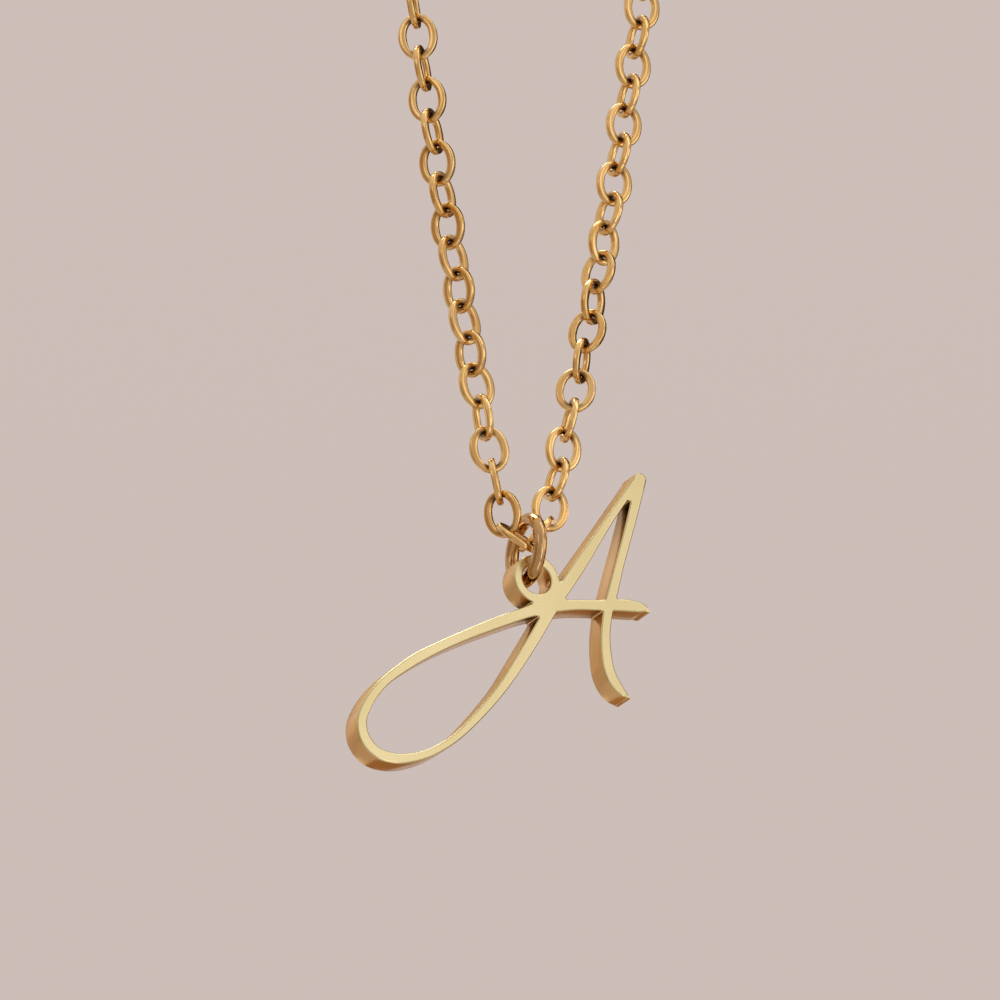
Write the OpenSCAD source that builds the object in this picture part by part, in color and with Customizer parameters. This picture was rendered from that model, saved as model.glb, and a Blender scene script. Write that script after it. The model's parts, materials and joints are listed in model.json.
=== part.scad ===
// Script initial pendant on a cable chain necklace, as it hangs from its clasp.
// Millimetres, +Z up. The origin is the middle of the clasp's underside, where the loop hangs.
// The chain hangs in the XZ plane, the letter's face looks towards -Y and the jump ring is square to it.

/* [Letter] */
// Height of the letter, upright
letter_h = 23.6; // [18:0.2:30]
// Thickness of the letter's plate
letter_t = 1.85; // [1:0.05:2]
// Usual width of its pen stroke
stroke_w = 0.74; // [0.5:0.02:1]
// Hole of the eye that the jump ring passes through
eye_bore = 2.1; // [2:0.05:3]
// Metal around the hole
eye_wall = 0.64; // [0.4:0.02:0.8]
// Fillet where two strokes meet
corner_r = 0.12; // [0.05:0.01:0.2]
// Turn of the letter to the left from upright, as it hangs close to its balance
letter_turn = 0.5; // [-4:0.5:8]

/* [Jump ring] */
// Outside width of the jump ring
ring_od = 5.2; // [4.8:0.05:5.6]
// Thickness of its wire
ring_wire = 0.93; // [0.7:0.01:1]

/* [Chain] */
// Length of a link outside
link_l = 3.3; // [3.1:0.05:3.6]
// Width of a link outside
link_w = 2.70; // [2.6:0.05:3]
// Thickness of a link's wire
link_wire = 0.46; // [0.4:0.01:0.48]
// Play between two linked wires
link_gap = 0.11; // [0.1:0.01:0.2]
// Links on each side of the clasp
side_links = 98; // [70:2:110]
// Width of the hanging loop near its top
hang_w = 48; // [36:1:60]
// Length over which a side of the chain bends upright
bend_l = 70; // [50:1:120]

/* [Clasp] */
// Length of the clasp between the links that it joins
clasp_l = 10; // [8:0.2:14]
// Height of the clasp at its wide end
clasp_h = 4.4; // [3.6:0.1:6]
// Thickness of the clasp
clasp_t = 1.3; // [1:0.05:1.4]
// Holes at its two ends
clasp_bore = 1.5; // [1.4:0.05:2]

/* [Hidden] */

// Rows of the pen stroke from the apex, down the stem, round the loop and along the crossbar:
// across and up from the eye's hole as shares of letter_h, width as a share of stroke_w.
ACROSS = 0;
UP = 1;
WIDTH = 2;
PEN = [
  [0.330, 0.364, 0.76],
  [0.235, 0.218, 0.80],
  [0.147, 0.078, 1.17],
  [0.112, 0.023, 1.22],
  [0.057, -0.064, 1.15],
  [-0.003, -0.169, 1.15],
  [-0.054, -0.254, 1.08],
  [-0.108, -0.339, 0.92],
  [-0.174, -0.424, 0.84],
  [-0.251, -0.508, 0.73],
  [-0.322, -0.562, 0.75],
  [-0.385, -0.591, 0.86],
  [-0.445, -0.604, 0.99],
  [-0.502, -0.595, 1.08],
  [-0.540, -0.559, 1.09],
  [-0.550, -0.508, 0.99],
  [-0.534, -0.460, 0.92],
  [-0.505, -0.413, 0.87],
  [-0.463, -0.366, 0.86],
  [-0.381, -0.299, 1.00],
  [-0.297, -0.245, 0.93],
  [-0.212, -0.197, 0.95],
  [-0.127, -0.152, 1.05],
  [-0.042, -0.110, 1.08],
  [0.000, -0.091, 1.22],
  [0.051, -0.074, 1.19],
  [0.127, -0.058, 1.01],
  [0.201, -0.047, 1.03],
  [0.275, -0.035, 1.19],
  [0.318, -0.033, 1.05],
  [0.339, -0.034, 0.84],
  [0.360, -0.044, 0.04]
];
// Row of PEN at the loop's far bottom, where its outline is cut in two
PEN_CUT = 12;
// Rows of the leg's stroke from the apex down to its hooked tip, in the same shares
LEG = [
  [0.336, 0.357, 1.14],
  [0.311, 0.254, 1.01],
  [0.288, 0.169, 0.95],
  [0.264, 0.085, 0.95],
  [0.242, 0.000, 1.04],
  [0.227, -0.055, 1.00],
  [0.217, -0.136, 0.99],
  [0.222, -0.212, 1.11],
  [0.234, -0.254, 1.14],
  [0.252, -0.282, 1.05],
  [0.271, -0.300, 0.72],
  [0.294, -0.314, 0.04]
];
// Points that the smooth curve takes between two rows
CURVE_STEPS = 6;

// The two lowest links meet inside the ring and carry it. Each reaches from their joint up to its side's run.
// Place of that upper end from the ring's saddle and distance from it down to the link's middle, as shares
// of pitch, then the link's lean in the chain's plane, its lean out of it and its roll, in degrees.
SIDE = 0;
END_ACROSS = 1;
END_UP = 2;
TO_MIDDLE = 3;
LEAN = 4;
YAW = 5;
ROLL = 6;
LOW_LEFT = [-1, 0.662, -0.088, 0.418, 51.2, 19.7, 48.2];
LOW_RIGHT = [1, 0.668, 0.335, 0.477, 40.0, -5.6, 85.0];

// Rolls of the links, by link number, past their quarter turn and back
ROLLS_LEFT = [[1, -54], [2, -32], [3, -14], [4, -6], [6, 17], [8, 18], [12, 33], [16, 50], [40, 90]];
ROLLS_RIGHT = [[1, 2], [3, 5], [4, -10], [5, -26], [6, -42], [8, -56], [10, -71], [12, -87], [40, -90]];

// Place of the ring's wire in the eye, across and up from the hole's middle
wire_at = [-0.33, 0.11];
// Extra depth of a cut past a face
cut = 1;
wire_fn = 16;
round_fn = 48;
// Halvings that settle the lean of a side
TRIES = 30;

ring_r = (ring_od-ring_wire)/2;
pitch = link_l-2*link_wire-link_gap;
link_r = (link_w-link_wire)/2;
link_side = link_l-link_w;
arc_links = round(PI/4*(hang_w-clasp_l)/pitch);
run_links = side_links-1-arc_links;
left_leans = side_leans(fit_spread(LOW_LEFT, 0, 1, TRIES));
right_leans = side_leans(fit_spread(LOW_RIGHT, 0, 1, TRIES));
left_joints = side_joints(LOW_LEFT, left_leans);
right_joints = side_joints(LOW_RIGHT, right_leans);
clasp_span = right_joints[side_links-1]-left_joints[side_links-1];
clasp_tilt = atan2(clasp_span[1], clasp_span[0]);
clasp_mid = (right_joints[side_links-1]+left_joints[side_links-1])/2;
// Place of the ring's saddle, with the clasp's underside at the origin
saddle = clasp_h/2*[-sin(clasp_tilt), cos(clasp_tilt)]-clasp_mid;
ring_top = saddle+[0, (ring_wire+link_wire)/2];

function total(v) = v*[for (x = v) 1];

// Place on the plane of the chain and the letter
function upright(p) = [p[0], 0, p[1]];

// Lean of a link on a side's run, which bends upright as it rises
function run_lean(spread, i) = atan(spread/(1+i*pitch/bend_l));

// Leans of a side's links above the lowest, up the run and over the arc to the clasp
function side_leans(spread) =
  let (last = run_lean(spread, run_links))
  concat(
    [for (i = [1:run_links]) run_lean(spread, i)],
    [for (k = [1:arc_links]) last-k*(90+last)/(arc_links+1)]
  );

// How far out a side ends
function end_out(low, spread) = pitch*(low[END_ACROSS]+total([for (a = side_leans(spread)) sin(a)]));

// Spread at which a side ends at the clasp, by halving
function fit_spread(low, from, to, tries) =
  let (mid = (from+to)/2)
  tries == 0 ? mid :
  end_out(low, mid) > clasp_l/2 ? fit_spread(low, from, mid, tries-1) : fit_spread(low, mid, to, tries-1);

// Joints of a side from the lowest link's upper end, across and up from the ring's saddle
function side_joints(low, leans) = [
  for (i = 0, p = pitch*[low[SIDE]*low[END_ACROSS], low[END_UP]]; i < side_links;
       p = i < side_links-1 ? p+pitch*[low[SIDE]*sin(leans[i]), cos(leans[i])] : p, i = i+1) p
];

// Row of a table, held at its ends
function row(t, i) = t[max(0, min(len(t)-1, i))];

// Point of the smooth curve through a table's rows, u of the way past row i
function blend(t, i, u) =
  let (a = row(t, i-1), b = row(t, i), c = row(t, i+1), d = row(t, i+2))
  (2*b+(c-a)*u+(2*a-5*b+4*c-d)*u*u+(3*b-a-3*c+d)*u*u*u)/2;

// Stroke's outline from one row of its table to another
module stroke(t, from, to) {
  line = [for (k = [from*CURVE_STEPS:to*CURVE_STEPS]) blend(t, floor(k/CURVE_STEPS), k/CURVE_STEPS%1)];
  at = [for (p = line) letter_h*[p[ACROSS], p[UP]]];
  last = len(at)-1;
  ways = [for (i = [0:last]) at[min(i+1, last)]-at[max(i-1, 0)]];
  sides = [for (i = [0:last]) stroke_w*line[i][WIDTH]/2*[-ways[i][1], ways[i][0]]/norm(ways[i])];
  polygon(concat([for (i = [0:last]) at[i]+sides[i]], [for (i = [last:-1:0]) at[i]-sides[i]]));
}

module letter_outline() {
  apex = LEG[0];
  offset(r = -corner_r, $fn = round_fn) offset(delta = corner_r) {
    stroke(PEN, 0, PEN_CUT);
    stroke(PEN, PEN_CUT-1, len(PEN)-1);
    stroke(LEG, 0, len(LEG)-1);
    translate(letter_h*[apex[ACROSS], apex[UP]]) circle(d = stroke_w*apex[WIDTH], $fn = round_fn);
    circle(d = eye_bore+2*eye_wall, $fn = 2*round_fn);
  }
}

module letter() {
  color("#e8d7a0")
    translate(upright(ring_top-[0, 2*ring_r]))
      rotate([0, -letter_turn, 0])
        translate(-upright(wire_at))
          rotate([90, 0, 0])
            difference() {
              linear_extrude(letter_t, center = true) letter_outline();
              cylinder(d = eye_bore, h = letter_t+2*cut, center = true, $fn = round_fn);
            }
}

module jump_ring() {
  color("#d8b070")
    translate(upright(ring_top-[0, ring_r]))
      rotate([0, 90, 0])
        rotate_extrude($fn = 2*round_fn) translate([ring_r, 0]) circle(d = ring_wire, $fn = 2*wire_fn);
}

// Link with straight sides and half round ends, standing along Z and wide along X
module link() {
  for (end = [0, 180]) rotate([0, end, 0]) {
    translate([0, 0, link_side/2])
      rotate([90, 0, 0])
        rotate_extrude(angle = 180, $fn = round_fn) translate([link_r, 0]) circle(d = link_wire, $fn = wire_fn);
    translate([link_r, 0, -link_side/2]) cylinder(d = link_wire, h = link_side, $fn = wire_fn);
  }
}

// Link about a place, turned about its own length, then leaned out of the chain's plane and within it
module link_at(p, lean, yaw, roll) {
  translate(p) rotate([-yaw, lean, 0]) rotate([0, 0, roll]) link();
}

module chain(low, leans, joints, rolls) {
  side = low[SIDE];
  way = [side*sin(low[LEAN])*cos(low[YAW]), sin(low[YAW]), cos(low[LEAN])*cos(low[YAW])];
  color("#cd9646")
    translate(upright(saddle)) {
      link_at(upright(joints[0])-pitch*low[TO_MIDDLE]*way, side*low[LEAN], low[YAW], low[ROLL]);
      for (i = [1:side_links-1])
        link_at(upright(joints[i-1]+joints[i])/2, side*leans[i-1], 0, 90*((i+1)%2)+lookup(i, rolls));
    }
}

module chain_left() {
  chain(LOW_LEFT, left_leans, left_joints, ROLLS_LEFT);
}

module chain_right() {
  chain(LOW_RIGHT, right_leans, right_joints, ROLLS_RIGHT);
}

// Flat oval with a hole at each end, where the last link of each side passes
module clasp() {
  link_back = link_r-sqrt(link_r*link_r-clasp_t*clasp_t/4);
  hole_at = clasp_l/2+link_gap/2+link_back-clasp_bore/2;
  color("#d8b070")
    translate(upright(saddle+clasp_mid))
      rotate([90, 0, 0]) rotate([0, 0, clasp_tilt])
        difference() {
          linear_extrude(clasp_t, center = true) {
            square([2*hole_at-clasp_bore, clasp_h], center = true);
            for (side = [-1, 1]) translate([side*(hole_at-clasp_bore/2), 0]) circle(d = clasp_h, $fn = 2*round_fn);
          }
          for (side = [-1, 1])
            translate([side*hole_at, 0, 0])
              cylinder(d = clasp_bore, h = clasp_t+2*cut, center = true, $fn = round_fn);
        }
}

letter();
jump_ring();
chain_left();
chain_right();
clasp();
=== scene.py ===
"""A script initial cut from gold plate, on a jump ring and a cable chain, as it hangs from its clasp."""

import json
import math

import bmesh
import bpy
import numpy as np
from mathutils import Matrix, Vector
from mathutils.bvhtree import BVHTree


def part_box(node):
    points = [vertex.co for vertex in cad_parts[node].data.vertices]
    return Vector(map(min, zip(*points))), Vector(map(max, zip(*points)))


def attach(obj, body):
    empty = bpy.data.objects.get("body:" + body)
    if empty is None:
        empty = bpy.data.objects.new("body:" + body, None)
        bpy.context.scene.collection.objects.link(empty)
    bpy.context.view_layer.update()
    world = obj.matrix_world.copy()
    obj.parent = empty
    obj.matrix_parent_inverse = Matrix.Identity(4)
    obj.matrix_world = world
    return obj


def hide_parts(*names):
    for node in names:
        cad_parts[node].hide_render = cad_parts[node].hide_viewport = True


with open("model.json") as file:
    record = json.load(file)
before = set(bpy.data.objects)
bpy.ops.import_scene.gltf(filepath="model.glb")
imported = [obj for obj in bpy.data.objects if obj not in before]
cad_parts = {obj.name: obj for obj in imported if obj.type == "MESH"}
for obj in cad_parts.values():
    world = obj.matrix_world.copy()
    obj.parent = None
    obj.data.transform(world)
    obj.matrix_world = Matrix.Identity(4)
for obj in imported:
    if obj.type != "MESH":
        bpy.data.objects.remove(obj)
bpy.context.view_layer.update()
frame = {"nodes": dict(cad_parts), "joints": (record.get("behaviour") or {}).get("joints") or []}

MM = 0.001

# The photograph's view. The middle of the eye's hole, on the letter's front face, shows at EYE_PIXEL.
CAMERA_AZIMUTH = math.radians(-26.5)
CAMERA_ELEVATION = math.radians(-21)
CAMERA_DISTANCE = 0.75
CAMERA_CLIP = (0.01, 100)
SENSOR_WIDTH = 36
PICTURE_SIDE = 1000
PIXELS_PER_METRE = 15000
EYE_PIXEL = (536.9, 578.8)

# Place of the hole's middle from the point where the letter hangs on the ring's wire
EYE_FROM_PIVOT = Vector((0.331 * MM, 0, -0.107 * MM))

# Rounded rims of the two plates: their width, and the steps round it
LETTER_RIM, LETTER_RIM_STEPS = 0.11 * MM, 3
CLASP_RIM, CLASP_RIM_STEPS = 0.25 * MM, 4

# The letter's first and second finish
FACE_FINISH, SIDE_FINISH = 0, 1

# A plate's outline has a tip where it turns by more than TIP_TURN. The rim stays sharp for TIP_REACH from
# there, and a longer edge is first cut a little past that.
TIP_TURN = math.radians(40)
TIP_REACH = 0.3 * MM
TIP_CUT = 1.01 * TIP_REACH

# The letter's side gets painted shade, darkened towards brown, where another part of it faces it from
# nearer than
# CREVICE_REACH, as seen from CREVICE_START off the side
CREVICE_REACH = 1.4 * MM
CREVICE_START = 0.02 * MM

# Jump ring: steps round it and sides of its wire
RING_STEPS, RING_SIDES = 96, 24

# Links of the chain, pressed flat: outer length and width, thickness, width of the wire at the ends
# and along the sides, and how round its section is, from 0 for square to 1 for round
LINK_LENGTH = 3.3 * MM
LINK_WIDTH = 2.7 * MM
LINK_THICKNESS = 0.45 * MM
END_WIRE = 0.48 * MM
SIDE_WIRE = 0.56 * MM
ROUNDNESS = 0.52

# Where a link gets painted shade from its neighbour, at the inside of its ends: shares of the way in
# through its wire, and of the way from its side to its end, from which the painted shade starts and from
# which it is full
CONTACT_SHADE_INWARDS = (1 / 3, 2 / 3)
CONTACT_SHADE_ENDWARDS = (0.7, 0.9)

# Steps round a link and sides of its wire. The links are fine up to FINE_OVER_RING above the jump ring's
# middle, and within FINE_ROUND_CLASP of the clasp.
FINE_STEPS, FINE_SIDES = 32, 12
PLAIN_STEPS, PLAIN_SIDES = 16, 6
FINE_OVER_RING = 0.05
FINE_ROUND_CLASP = 0.013

# Points of the CAD solids nearer than these are one point, in the chain and in the plates
LINK_WELD = 0.001 * MM
PLATE_WELD = 0.006 * MM

# A turn smaller than this counts as none
FLAT = math.radians(0.3)

# Colours of the finishes, in their darker and their lighter patches
# The face's lighter and darker patches are partly its own tone and partly painted shading
CHAMPAGNE = (0.66, 0.575, 0.29, 1), (0.84, 0.74, 0.44, 1)
# The side's copper is partly its own tone and partly painted shade: darker than the face, in patches, for
# the dark surroundings it mirrors
COPPER = (0.62, 0.34, 0.10, 1), (0.92, 0.60, 0.27, 1)
RING_GOLD = (0.55, 0.33, 0.13, 1), (0.65, 0.43, 0.21, 1)
LINK_GOLD = (0.80, 0.50, 0.17, 1), (0.92, 0.65, 0.29, 1)
CLASP_GOLD = (0.84, 0.52, 0.18, 1), (0.88, 0.62, 0.26, 1)
FLOOR_ROSE = (0.70, 0.65, 0.62, 1), (0.74, 0.69, 0.66, 1)

# Colours of the painted shade in the letter's crevices and where one link hangs in the next, and how much
# of the metal they cover there
CREVICE_SHADE_BROWN = (0.07, 0.04, 0.02, 1)
CONTACT_SHADE_BROWN = (0.12, 0.05, 0.015, 1)
PAINTED_SHADE_COVER = 0.9

# Most of the noise lies between these values
NOISE_LOW, NOISE_HIGH = 0.3, 0.7

# A Mix node's inputs for its share and its two colours, and its output for the mixed colour
MIX_SHARE, MIX_FIRST, MIX_SECOND, MIX_RESULT = 0, 6, 7, 2

# Colour of the room by height: from 0, straight down, to 1, straight up
ROOM = [
    (0.20, (0.30, 0.25, 0.22, 1)),
    (0.42, (0.50, 0.43, 0.39, 1)),
    (0.55, (0.58, 0.49, 0.455, 1)),
    (0.75, (0.62, 0.53, 0.49, 1)),
    (1.00, (0.88, 0.84, 0.80, 1)),
]

# Softboxes: name, direction from the pendant, distance, width and height, glow, colour
WHITE = (1, 1, 1)
CREAM = (1, 0.96, 0.84)
PEACH = (1, 0.93, 0.86)
SOFTBOXES = [
    ("wide_softbox", (0.62, -0.78, 0.05), 0.8, (0.6, 0.6), 0.28, WHITE),
    ("right_softbox", (0.80, -0.56, 0.15), 0.6, (0.22, 0.22), 0.8, CREAM),
    ("top_softbox", (-0.05, 0.33, 0.94), 0.6, (0.26, 0.26), 4.5, WHITE),
    ("front_strip", (0.30, -0.89, 0.30), 0.6, (0.18, 0.5), 0.5, WHITE),
    ("low_strip", (0.325, -0.88, -0.35), 0.6, (0.18, 0.34), 1.1, WHITE),
    ("high_strip", (0.35, -0.45, 0.82), 0.6, (0.18, 0.4), 1.0, WHITE),
    ("left_softbox", (-0.836, -0.417, 0.358), 0.6, (0.2, 0.2), 0.5, WHITE),
    ("left_back_softbox", (-0.417, 0.836, 0.358), 0.7, (0.3, 0.3), 0.14, WHITE),
    ("back_softbox", (0.12, 0.98, -0.15), 0.9, (0.5, 0.5), 0.32, WHITE),
    ("low_softbox", (0.3, -0.5, -0.85), 0.7, (0.3, 0.3), 0.8, PEACH),
    ("near_softbox", (0.0, -1.0, -0.12), 0.7, (0.3, 0.3), 0.3, WHITE),
]

# Dull cards that the metal mirrors: name, direction from the pendant, width, colour
DARK_BROWN = (0.06, 0.04, 0.025, 1)
CARDS = [
    ("low_card", (0.417, 0.836, -0.5), 0.34, (0.44, 0.26, 0.12, 1)),
    ("right_card", (0.66, 0.40, 0.58), 0.42, DARK_BROWN),
    ("far_right_card", (0.95, 0.25, 0.08), 0.4, DARK_BROWN),
    ("gold_card", (0.2, 0.82, 0.52), 0.26, (0.97, 0.84, 0.56, 1)),
    ("left_card", (-0.96, 0.1, -0.1), 0.45, (0.52, 0.38, 0.26, 1)),
]
CARD_DISTANCE = 0.5
CARD_ROUGHNESS = 0.9

# Round floor: how far it lies below the clasp, its radius, the steps round it and its roughness
FLOOR_DROP = 1.3
FLOOR_RADIUS = 4
FLOOR_STEPS = 96
FLOOR_ROUGHNESS = 0.8


def joint(name):
    """Place of a joint of the frame."""
    return Vector(next(j["pos_m"] for j in frame["joints"] if j["name"] == name))


class Socket:
    """An output of a node, with arithmetic that adds Math nodes."""

    def __init__(self, nodes, output):
        self.nodes = nodes
        self.output = output

    def combine(self, operation, other):
        return self.nodes.node("ShaderNodeMath", {"operation": operation}, {0: self, 1: other})

    def __add__(self, other):
        return self.combine("ADD", other)

    __radd__ = __add__

    def __mul__(self, other):
        return self.combine("MULTIPLY", other)

    __rmul__ = __mul__


def lay_stops(elements, stops):
    """Lays a ramp's colours at their places."""
    while len(elements) < len(stops):
        elements.new(1)
    for element, (place, colour) in zip(elements, stops):
        element.position = place
        element.color = colour


class Nodes:
    """The nodes of a finish or of the room, added one by one."""

    def __init__(self, tree):
        self.tree = tree

    def put(self, target, value):
        """Gives a node's socket a value, or links another node's socket to it."""
        if isinstance(value, Socket):
            self.tree.links.new(value.output, target)
        else:
            target.default_value = value

    def node(self, kind, settings, sockets, output=0):
        """Adds a node, with its settings first and then its sockets, and gives one of its outputs."""
        made = self.tree.nodes.new(kind)
        for name, value in settings.items():
            if name == "stops":
                lay_stops(made.color_ramp.elements, value)
            else:
                setattr(made, name, value)
        for name, value in sockets.items():
            self.put(made.inputs[name], value)
        return Socket(self, made.outputs[output])


class Finish(Nodes):
    """The finish of a piece, a card or the floor."""

    def __init__(self, name):
        self.material = bpy.data.materials.new(name)
        self.material.use_nodes = True
        super().__init__(self.material.node_tree)
        self.shader = self.tree.nodes["Principled BSDF"]

    def grain(self, scale, stretch=(1, 1, 1), detail=3):
        """Noise fixed to the piece, with scale specks a metre, times the stretch along each axis."""
        place = self.node("ShaderNodeTexCoord", {}, {}, "Object")
        stretched = self.node("ShaderNodeMapping", {}, {"Vector": place, "Scale": stretch})
        return self.node("ShaderNodeTexNoise", {}, {"Vector": stretched, "Scale": scale, "Detail": detail})

    def clouds(self, scale, detail=3):
        """Soft patches from 0 to 1, about scale of them a metre."""
        sockets = {"Value": self.grain(scale, detail=detail), "From Min": NOISE_LOW, "From Max": NOISE_HIGH}
        return self.node("ShaderNodeMapRange", {}, sockets)

    def mark(self, name):
        """A mark from 0 to 1 that the piece's points carry."""
        return self.node("ShaderNodeAttribute", {"attribute_name": name}, {}, "Fac")

    def tint(self, share, first, second):
        """Colour that goes from the first to the second as the share goes from 0 to 1."""
        sockets = {MIX_SHARE: share, MIX_FIRST: first, MIX_SECOND: second}
        return self.node("ShaderNodeMix", {"data_type": "RGBA"}, sockets, MIX_RESULT)

    def relief(self, height, depth):
        return self.node("ShaderNodeBump", {}, {"Height": height, "Distance": depth, "Strength": 1})

    def dull(self, colour, roughness):
        """The material of a card or the floor."""
        self.put(self.shader.inputs["Base Color"], colour)
        self.put(self.shader.inputs["Roughness"], roughness)
        return self.material

    def metal(self, colour, roughness, relief):
        """The material of a metal piece."""
        self.put(self.shader.inputs["Metallic"], 1)
        self.put(self.shader.inputs["Normal"], relief)
        return self.dull(colour, roughness)


def satin_face():
    """Pale champagne plate, brushed fine from side to side, in lighter and darker patches that are partly
    its own tone and partly painted shading of its uneven reflection.
    """
    finish = Finish("satin_champagne_face")
    clouds = finish.clouds(scale=120, detail=1)
    strokes = finish.grain(scale=900, stretch=(1, 1, 14))
    colour = finish.tint(clouds, *CHAMPAGNE)
    roughness = 0.22 + 0.05 * clouds + 0.05 * strokes
    return finish.metal(colour, roughness, finish.relief(strokes, depth=0.0002 * MM))


def copper_side():
    """Polished cut side of the plate in copper tones, with faint cutting lines and painted shade in its
    crevices. The copper is partly the side's own tone and partly painted shade: darker than the face, and
    in lighter and darker patches, for the dark surroundings that the side mirrors.
    """
    finish = Finish("polished_copper_side")
    clouds = finish.clouds(scale=180, detail=1)
    lines = finish.grain(scale=1500, stretch=(1, 0.05, 1))
    copper = finish.tint(clouds, *COPPER)
    # Painted shade: the side is darkened towards brown where another part of the letter stands close in
    # front of it
    colour = finish.tint(PAINTED_SHADE_COVER * finish.mark("crevice"), copper, CREVICE_SHADE_BROWN)
    roughness = 0.14 + 0.1 * lines + 0.05 * clouds
    return finish.metal(colour, roughness, finish.relief(lines, depth=0.0006 * MM))


def ring_polish():
    """Drawn wire of the jump ring, polished, a little duller in patches."""
    finish = Finish("polished_ring_wire")
    clouds = finish.clouds(scale=330)
    scuffs = finish.grain(scale=5200)
    colour = finish.tint(clouds, *RING_GOLD)
    roughness = 0.08 + 0.04 * clouds + 0.05 * scuffs
    return finish.metal(colour, roughness, finish.relief(scuffs, depth=0.0004 * MM))


def chain_polish():
    """Orange gold of the links, darker with painted shade and duller where one hangs in the next."""
    finish = Finish("pressed_link_gold")
    clouds = finish.clouds(scale=420)
    scuffs = finish.grain(scale=2400)
    # Painted shade: where one link hangs in the next, the gold is darkened towards brown
    contact = finish.mark("contact")
    gold = finish.tint(clouds, *LINK_GOLD)
    colour = finish.tint(PAINTED_SHADE_COVER * contact, gold, CONTACT_SHADE_BROWN)
    roughness = 0.1 + 0.05 * clouds + 0.04 * scuffs + 0.15 * contact
    return finish.metal(colour, roughness, finish.relief(scuffs, depth=0.0002 * MM))


def clasp_polish():
    """Gold of the clasp, polished, with fine marks along it from handling."""
    finish = Finish("polished_clasp_gold")
    clouds = finish.clouds(scale=260)
    marks = finish.grain(scale=2600, stretch=(0.2, 1, 1))
    colour = finish.tint(clouds, *CLASP_GOLD)
    roughness = 0.16 + 0.1 * clouds + 0.1 * marks
    return finish.metal(colour, roughness, finish.relief(marks, depth=0.002 * MM))


def mesh_of(name, shape):
    """Mesh made of a shape, which is then freed."""
    mesh = bpy.data.meshes.new(name)
    shape.to_mesh(mesh)
    shape.free()
    return mesh


def put_in_scene(name, shape, *materials):
    """Object made of a shape and its materials, in their order."""
    mesh = mesh_of(name, shape)
    for material in materials:
        mesh.materials.append(material)
    made = bpy.data.objects.new(name, mesh)
    bpy.context.scene.collection.objects.link(made)
    return made


def join_frame(made, body, node):
    """Lets a piece of the necklace move with a body and stand for a CAD node."""
    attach(made, body)
    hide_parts(node)


def welded(node):
    """Copy of a CAD plate in one skin, with whole flat faces and without its outline's shortest steps."""
    shape = bmesh.new()
    shape.from_mesh(frame["nodes"][node].data)
    bmesh.ops.remove_doubles(shape, verts=shape.verts, dist=PLATE_WELD)
    bmesh.ops.dissolve_limit(shape, angle_limit=FLAT, verts=shape.verts, edges=shape.edges)
    return shape


def is_plate_face(face):
    """Whether a face is the flat front or back of a plate."""
    return abs(face.normal.y) > math.cos(FLAT)


def is_side(face):
    """Whether a face stands square to the flat ones."""
    return abs(face.normal.y) < math.sin(FLAT)


def is_rim(edge):
    """Whether an edge lies between a flat face of the plate and its side."""
    return edge.is_manifold and sum(is_plate_face(face) for face in edge.link_faces) == 1


def tips(shape):
    """Places where the plate's outline comes to a tip."""
    found = []
    for vert in shape.verts:
        rim = [edge for edge in vert.link_edges if is_rim(edge)]
        if len(rim) == 2:
            ways = [(edge.other_vert(vert).co - vert.co).normalized() for edge in rim]
            if ways[0].angle(-ways[1]) > TIP_TURN:
                found.append(vert.co.copy())
    return found


def near_tip(vert, points):
    return any((vert.co - point).length < TIP_REACH for point in points)


def soften(shape, width, steps):
    """Rounds the rims of a plate's flat faces, up to the tips."""
    points = tips(shape)
    for edge in [e for e in shape.edges if is_rim(e) and e.calc_length() > 2 * TIP_REACH]:
        for vert in list(edge.verts):
            if near_tip(vert, points):
                bmesh.utils.edge_split(edge, vert, TIP_CUT / edge.calc_length())
    rims = [e for e in shape.edges if is_rim(e) and not any(near_tip(v, points) for v in e.verts)]
    bmesh.ops.bevel(shape, geom=rims, offset=width, segments=steps, profile=0.5,
                    affect="EDGES", material=-1, clamp_overlap=False)


def mark_crevice_shade(shape):
    """Marks the side for painted shade where another part of it stands close in front, as in the letter's
    sharp corners.
    """
    crevice = shape.verts.layers.float.new("crevice")
    shape.normal_update()
    tree = BVHTree.FromBMesh(shape)
    for vert in shape.verts:
        sides = [face.normal for face in vert.link_faces if is_side(face)]
        if sides:
            out = sum(sides, Vector()).normalized()
            *_, distance = tree.ray_cast(vert.co + out * CREVICE_START, out, CREVICE_REACH)
            if distance is not None:
                vert[crevice] = 1 - distance / CREVICE_REACH


def shade_letter(shape):
    """Each face's finish, and smooth rims and sides with the flat faces cut off from them."""
    for face in shape.faces:
        face.smooth = True
        face.material_index = SIDE_FINISH if is_side(face) else FACE_FINISH
    for edge in shape.edges:
        flat = [is_plate_face(face) for face in edge.link_faces]
        edge.smooth = all(flat) or not any(flat)


def script_letter():
    shape = welded("letter")
    soften(shape, LETTER_RIM, LETTER_RIM_STEPS)
    mark_crevice_shade(shape)
    shade_letter(shape)
    letter = put_in_scene("script_letter", shape, satin_face(), copper_side())
    join_frame(letter, body="letter", node="letter")


def oval_clasp():
    shape = welded("clasp")
    soften(shape, CLASP_RIM, CLASP_RIM_STEPS)
    for face in shape.faces:
        face.smooth = not is_plate_face(face)
    clasp = put_in_scene("oval_clasp", shape, clasp_polish())
    join_frame(clasp, body="root", node="clasp")


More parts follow.
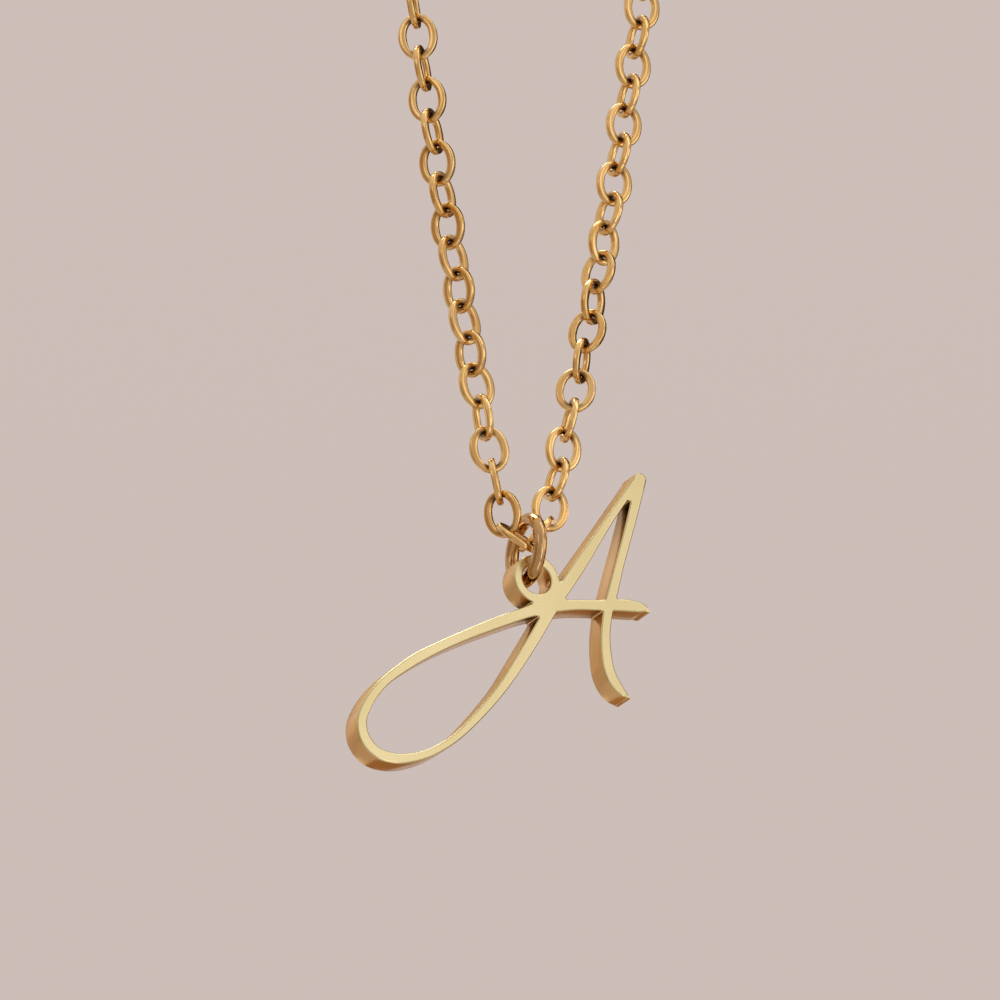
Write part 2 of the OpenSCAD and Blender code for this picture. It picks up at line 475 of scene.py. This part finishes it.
def wire_loop(radius, wire, steps, sides, roundness=1):
    """Closed wire round the Y axis, of a section from square, at 0, to round, at 1."""
    shape = bmesh.new()
    section = bmesh.ops.create_circle(shape, segments=sides, radius=1)["verts"]
    bmesh.ops.rotate(shape, verts=section, cent=(0, 0, 0), matrix=Matrix.Rotation(math.pi / sides, 3, "Z"))
    for vert in section:
        vert.co = [math.copysign(abs(c) ** roundness, c) for c in vert.co]
    bmesh.ops.scale(shape, vec=Vector((1, 1, 1)) * wire / 2, verts=section)
    bmesh.ops.translate(shape, vec=(radius, 0, 0), verts=section)
    bmesh.ops.spin(shape, geom=list(shape.verts) + list(shape.edges), cent=(0, 0, 0), axis=(0, 1, 0),
                   angle=2 * math.pi, steps=steps, use_merge=True)
    bmesh.ops.recalc_face_normals(shape, faces=shape.faces)
    for face in shape.faces:
        face.smooth = True
    return shape


def jump_ring():
    """The ring where the frame has it, round the X axis."""
    low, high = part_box("jump_ring")
    wire = high.x - low.x
    shape = wire_loop((high.y - low.y - wire) / 2, wire, RING_STEPS, RING_SIDES)
    bmesh.ops.rotate(shape, verts=shape.verts, cent=(0, 0, 0), matrix=Matrix.Rotation(math.pi / 2, 3, "Z"))
    bmesh.ops.translate(shape, vec=joint("ring_swing"), verts=shape.verts)
    ring = put_in_scene("round_jump_ring", shape, ring_polish())
    join_frame(ring, body="ring", node="jump_ring")


def rise(value, low, high):
    """Rises from 0, up to low, to 1, from high on."""
    return min(1, max(0, (value - low) / (high - low)))


def pressed_link(steps, sides):
    """One link, long in Z and wide in X, with the places of its painted shade marked at the inside of both
    ends, where its neighbours hang.
    """
    shape = wire_loop((LINK_WIDTH - SIDE_WIRE) / 2, SIDE_WIRE, steps, sides, ROUNDNESS)
    bmesh.ops.scale(shape, vec=(1, LINK_THICKNESS / SIDE_WIRE, 1), verts=shape.verts)
    contact = shape.verts.layers.float.new("contact")
    for vert in shape.verts:
        out = math.hypot(vert.co.x, vert.co.z)
        endwards = abs(vert.co.z) / out
        inwards = (LINK_WIDTH / 2 - out) / SIDE_WIRE
        vert[contact] = rise(inwards, *CONTACT_SHADE_INWARDS) * rise(endwards, *CONTACT_SHADE_ENDWARDS)
        # The wire is made slimmer from the inside of the ends, and then the ends are drawn apart
        slimmer = inwards * (SIDE_WIRE - END_WIRE) * endwards
        vert.co.x *= 1 + slimmer / out
        vert.co.z *= 1 + slimmer / out
        vert.co.z += (LINK_LENGTH - LINK_WIDTH) / 2 * vert.co.z / math.hypot(vert.co.x, vert.co.z)
    return mesh_of("link", shape)


def islands(shape):
    """Each group of joined faces, in the same order on every run."""
    left = set(shape.faces)
    for first in shape.faces:
        if first in left:
            left.remove(first)
            group = [first]
            for face in group:
                near = dict.fromkeys(f for edge in face.edges for f in edge.link_faces if f in left)
                left.difference_update(near)
                group.extend(near)
            yield group


def link_place(faces):
    """Matrix that puts a link where a chain's solid has one, from the moments of its skin of triangles."""
    corners = np.array([[list(v.co) for v in face.verts] for face in faces])
    areas = np.array([face.calc_area() for face in faces])
    middle = (corners.mean(1) * areas[:, None]).sum(0) / areas.sum()
    arms = corners - middle
    sums = arms.sum(1)
    moments = np.einsum("f,fvi,fvj->ij", areas, arms, arms) + np.einsum("f,fi,fj->ij", areas, sums, sums)
    # The axes come in order from the thinnest way through the link to the longest
    thin, _, long = np.linalg.eigh(moments)[1].T
    place = np.eye(4)
    place[:3] = np.column_stack([np.cross(thin, long), thin, long, middle])
    return Matrix(place.tolist())


def cable_chain(name, node, fine_link, plain_link, finish):
    """All the links of one side, each where the CAD chain has it."""
    solid = bmesh.new()
    solid.from_mesh(frame["nodes"][node].data)
    bmesh.ops.remove_doubles(solid, verts=solid.verts, dist=LINK_WELD)
    fine_top = joint("ring_swing").z + FINE_OVER_RING
    shape = bmesh.new()
    for faces in islands(solid):
        place = link_place(faces)
        fine = place.translation.z < fine_top or place.translation.length < FINE_ROUND_CLASP
        before = len(shape.verts)
        shape.from_mesh(fine_link if fine else plain_link)
        shape.verts.ensure_lookup_table()
        bmesh.ops.transform(shape, matrix=place, verts=shape.verts[before:])
    solid.free()
    chain = put_in_scene(name, shape, finish)
    join_frame(chain, body="root", node=node)


def make_camera():
    """Long lens that looks from the photograph's side, framed on the eye's hole."""
    back = Vector((
        math.sin(CAMERA_AZIMUTH) * math.cos(CAMERA_ELEVATION),
        -math.cos(CAMERA_AZIMUTH) * math.cos(CAMERA_ELEVATION),
        math.sin(CAMERA_ELEVATION),
    ))
    right = Vector((math.cos(CAMERA_AZIMUTH), math.sin(CAMERA_AZIMUTH), 0))
    up = back.cross(right)
    front_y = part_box("letter")[0].y
    eye = joint("letter_swing") + EYE_FROM_PIVOT + Vector((0, front_y, 0))
    middle = PICTURE_SIDE / 2
    target = eye + (right * (middle - EYE_PIXEL[0]) + up * (EYE_PIXEL[1] - middle)) / PIXELS_PER_METRE
    lens = bpy.data.cameras.new("camera")
    lens.sensor_width = SENSOR_WIDTH
    lens.lens = SENSOR_WIDTH * CAMERA_DISTANCE * PIXELS_PER_METRE / PICTURE_SIDE
    lens.clip_start, lens.clip_end = CAMERA_CLIP
    camera = bpy.data.objects.new("camera", lens)
    camera.matrix_world = Matrix((right, up, back)).transposed().to_4x4()
    camera.location = target + back * CAMERA_DISTANCE
    bpy.context.scene.collection.objects.link(camera)
    bpy.context.scene.camera = camera


def facing_pendant(toward, distance):
    """Place in a direction from the pendant, and the turn that makes a light or card there face it."""
    way = Vector(toward).normalized()
    return joint("letter_swing") + way * distance, way.to_track_quat("Z", "Y")


def softbox(name, toward, distance, size, glow, colour):
    """Lamp with a face that glows equally at any size, which the camera doesn't see."""
    lamp = bpy.data.lights.new(name, "AREA")
    lamp.shape = "RECTANGLE"
    lamp.size, lamp.size_y = size
    lamp.energy = glow * math.pi * size[0] * size[1]
    lamp.color = colour
    made = bpy.data.objects.new(name, lamp)
    made.location, turn = facing_pendant(toward, distance)
    made.rotation_euler = turn.to_euler()
    made.visible_camera = False
    bpy.context.scene.collection.objects.link(made)


def card(name, toward, width, colour):
    """Dull square that only the metal mirrors, as a studio's flag does."""
    place, turn = facing_pendant(toward, CARD_DISTANCE)
    shape = bmesh.new()
    bmesh.ops.create_grid(shape, x_segments=1, y_segments=1, size=width / 2)
    bmesh.ops.rotate(shape, verts=shape.verts, cent=(0, 0, 0), matrix=turn.to_matrix())
    bmesh.ops.translate(shape, vec=place, verts=shape.verts)
    made = put_in_scene(name, shape, Finish(name).dull(colour, CARD_ROUGHNESS))
    made.visible_camera = False
    made.visible_shadow = False


def pale_room():
    """Room that the metal mirrors and that shows behind it, darker low down."""
    world = bpy.data.worlds.new("pale_room")
    world.use_nodes = True
    bpy.context.scene.world = world
    room = Nodes(world.node_tree)
    place = room.node("ShaderNodeTexCoord", {}, {}, "Generated")
    upwards = room.node("ShaderNodeSeparateXYZ", {}, {"Vector": place}, "Z")
    height = room.node("ShaderNodeMapRange", {}, {"Value": upwards, "From Min": -1})
    colour = room.node("ShaderNodeValToRGB", {"stops": ROOM}, {"Fac": height})
    room.put(room.tree.nodes["Background"].inputs["Color"], colour)


def pale_floor():
    """Plain floor far below the pendant."""
    finish = Finish("pale_floor")
    colour = finish.tint(finish.clouds(scale=3), *FLOOR_ROSE)
    shape = bmesh.new()
    bmesh.ops.create_circle(shape, cap_ends=True, segments=FLOOR_STEPS, radius=FLOOR_RADIUS)
    bmesh.ops.translate(shape, vec=(0, 0, -FLOOR_DROP), verts=shape.verts)
    put_in_scene("pale_floor", shape, finish.dull(colour, FLOOR_ROUGHNESS))


def studio():
    """The room, its lights, the cards round the pendant and the floor."""
    pale_room()
    for row in SOFTBOXES:
        softbox(*row)
    for row in CARDS:
        card(*row)
    pale_floor()


def necklace():
    script_letter()
    jump_ring()
    fine_link = pressed_link(FINE_STEPS, FINE_SIDES)
    plain_link = pressed_link(PLAIN_STEPS, PLAIN_SIDES)
    finish = chain_polish()
    for side in ("left", "right"):
        cable_chain("chain_links_" + side, "chain_" + side, fine_link, plain_link, finish)
    oval_clasp()


make_camera()
bpy.context.scene.view_settings.view_transform = "Standard"
studio()
necklace()
